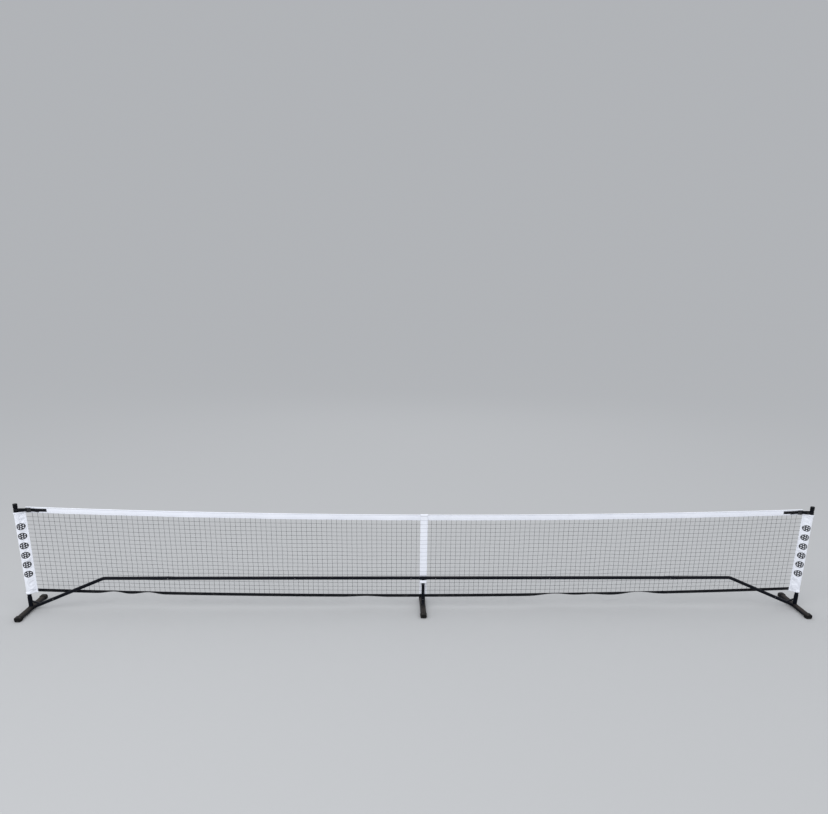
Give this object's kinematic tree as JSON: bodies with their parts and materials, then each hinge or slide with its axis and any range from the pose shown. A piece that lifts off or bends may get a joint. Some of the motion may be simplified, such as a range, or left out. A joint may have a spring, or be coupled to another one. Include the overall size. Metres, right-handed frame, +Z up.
{
  "type": "pickleball portable net",
  "caption": "Free-standing portable pickleball net: sectioned tube base on low feet, two lift-out posts, and a sagging mesh net with white top tape, sleeves and centre band.",
  "frame": {"origin": "on the ground under the middle of the net, midway between the two posts and in the plane of the posts and the base bar", "axes": "+X along the net towards the right-hand post, +Y to the back, where the net hangs behind the bar, +Z up; the front, -Y, is the side that the centre leg and bar face"},
  "size_m": [6.794, 0.486, 0.9536],
  "materials": {
    "powder_coated_steel": "satin black powder coat with a fine orange-peel texture",
    "rubber_boot": "matte moulded rubber",
    "black_plastic": "satin moulded plastic",
    "zinc_steel": "dull black-zinc plate",
    "buckle_steel": "dark zinc-plated stamped steel",
    "white_vinyl": "woven white coated cloth, stitched hems",
    "white_webbing": "white woven webbing",
    "black_webbing": "black woven polypropylene webbing",
    "net_cord": "black twisted nylon cord"
  },
  "bodies": {
    "frame": {"bottom_tape": "black_webbing", "centre_band": "white_webbing", "centre_foot_boots": "rubber_boot", "centre_foot_tube": "powder_coated_steel", "centre_leg": "powder_coated_steel", "centre_leg_socket": "powder_coated_steel", "centre_strap": "white_webbing", "centre_strut": "powder_coated_steel", "centre_tee": "powder_coated_steel", "left_angled_tube": "powder_coated_steel", "left_foot_boots": "rubber_boot", "left_foot_tube": "powder_coated_steel", "left_inner_bar": "powder_coated_steel", "left_net_panel": "net_cord", "left_outer_bar": "powder_coated_steel", "left_post_socket": "powder_coated_steel", "left_socket_strut": "powder_coated_steel", "left_stub_tube": "powder_coated_steel", "left_tape_tab": "black_webbing", "right_angled_tube": "powder_coated_steel", "right_foot_boots": "rubber_boot", "right_foot_tube": "powder_coated_steel", "right_inner_bar": "powder_coated_steel", "right_net_panel": "net_cord", "right_outer_bar": "powder_coated_steel", "right_post_socket": "powder_coated_steel", "right_socket_strut": "powder_coated_steel", "right_stub_tube": "powder_coated_steel", "right_tape_tab": "black_webbing", "snap_springs": "zinc_steel", "top_cord": "net_cord", "top_tape": "white_vinyl"},
    "left_post_body": {"left_post": "powder_coated_steel", "left_post_cap": "black_plastic", "left_sleeve": "white_vinyl", "left_tension_strap": "black_webbing", "left_buckle_frame": "buckle_steel", "left_buckle_pin": "buckle_steel"},
    "left_lever_body": {"left_buckle_lever": "buckle_steel"},
    "right_post_body": {"right_post": "powder_coated_steel", "right_post_cap": "black_plastic", "right_sleeve": "white_vinyl", "right_tension_strap": "black_webbing", "right_buckle_frame": "buckle_steel", "right_buckle_pin": "buckle_steel"},
    "right_lever_body": {"right_buckle_lever": "buckle_steel"},
    "left_stub_button_body": {"left_stub_button": "zinc_steel"},
    "left_outer_button_body": {"left_outer_button": "zinc_steel"},
    "left_inner_button_body": {"left_inner_button": "zinc_steel"},
    "left_tee_button_body": {"left_tee_button": "zinc_steel"},
    "right_stub_button_body": {"right_stub_button": "zinc_steel"},
    "right_outer_button_body": {"right_outer_button": "zinc_steel"},
    "right_inner_button_body": {"right_inner_button": "zinc_steel"},
    "right_tee_button_body": {"right_tee_button": "zinc_steel"},
    "leg_button_body": {"leg_button": "zinc_steel"},
    "foot_button_body": {"foot_button": "zinc_steel"}
  },
  "joints": [
    {"name": "left_post_lift", "type": "slide", "parent": "frame", "child": "left_post_body", "axis": [0, 0, 1], "range_m": [0, 0.085]},
    {"name": "right_post_lift", "type": "slide", "parent": "frame", "child": "right_post_body", "axis": [0, 0, 1], "range_m": [0, 0.085]},
    {"name": "left_buckle_open", "type": "hinge", "parent": "left_post_body", "child": "left_lever_body", "pos_m": [-3.277, 0.0065, 0.897], "axis": [0, 0, -1], "range_deg": [0, 75], "stiffness_Nm_per_rad": 0.05, "springref_deg": -17.19},
    {"name": "right_buckle_open", "type": "hinge", "parent": "right_post_body", "child": "right_lever_body", "pos_m": [3.277, 0.0065, 0.897], "axis": [0, 0, 1], "range_deg": [0, 75], "stiffness_Nm_per_rad": 0.05, "springref_deg": -17.19},
    {"name": "left_stub_button_press", "type": "slide", "parent": "frame", "child": "left_stub_button_body", "axis": [0, 1, 0], "range_m": [0, 0.0053], "stiffness_N_per_m": 1500, "springref_m": -0.002, "deforming": ["snap_springs"]},
    {"name": "left_outer_button_press", "type": "slide", "parent": "frame", "child": "left_outer_button_body", "axis": [0, 1, 0], "range_m": [0, 0.0053], "stiffness_N_per_m": 1500, "springref_m": -0.002, "deforming": ["snap_springs"]},
    {"name": "left_inner_button_press", "type": "slide", "parent": "frame", "child": "left_inner_button_body", "axis": [0, 1, 0], "range_m": [0, 0.0053], "stiffness_N_per_m": 1500, "springref_m": -0.002, "deforming": ["snap_springs"]},
    {"name": "left_tee_button_press", "type": "slide", "parent": "frame", "child": "left_tee_button_body", "axis": [0, 1, 0], "range_m": [0, 0.0053], "stiffness_N_per_m": 1500, "springref_m": -0.002, "deforming": ["snap_springs"]},
    {"name": "right_stub_button_press", "type": "slide", "parent": "frame", "child": "right_stub_button_body", "axis": [0, 1, 0], "range_m": [0, 0.0053], "stiffness_N_per_m": 1500, "springref_m": -0.002, "deforming": ["snap_springs"]},
    {"name": "right_outer_button_press", "type": "slide", "parent": "frame", "child": "right_outer_button_body", "axis": [0, 1, 0], "range_m": [0, 0.0053], "stiffness_N_per_m": 1500, "springref_m": -0.002, "deforming": ["snap_springs"]},
    {"name": "right_inner_button_press", "type": "slide", "parent": "frame", "child": "right_inner_button_body", "axis": [0, 1, 0], "range_m": [0, 0.0053], "stiffness_N_per_m": 1500, "springref_m": -0.002, "deforming": ["snap_springs"]},
    {"name": "right_tee_button_press", "type": "slide", "parent": "frame", "child": "right_tee_button_body", "axis": [0, 1, 0], "range_m": [0, 0.0053], "stiffness_N_per_m": 1500, "springref_m": -0.002, "deforming": ["snap_springs"]},
    {"name": "leg_button_press", "type": "slide", "parent": "frame", "child": "leg_button_body", "axis": [0, 1, 0], "range_m": [0, 0.0053], "stiffness_N_per_m": 1500, "springref_m": -0.002, "deforming": ["snap_springs"]},
    {"name": "foot_button_press", "type": "slide", "parent": "frame", "child": "foot_button_body", "axis": [0, 1, 0], "range_m": [0, 0.0058], "stiffness_N_per_m": 1500, "springref_m": -0.002, "deforming": ["snap_springs"]}
  ]
}
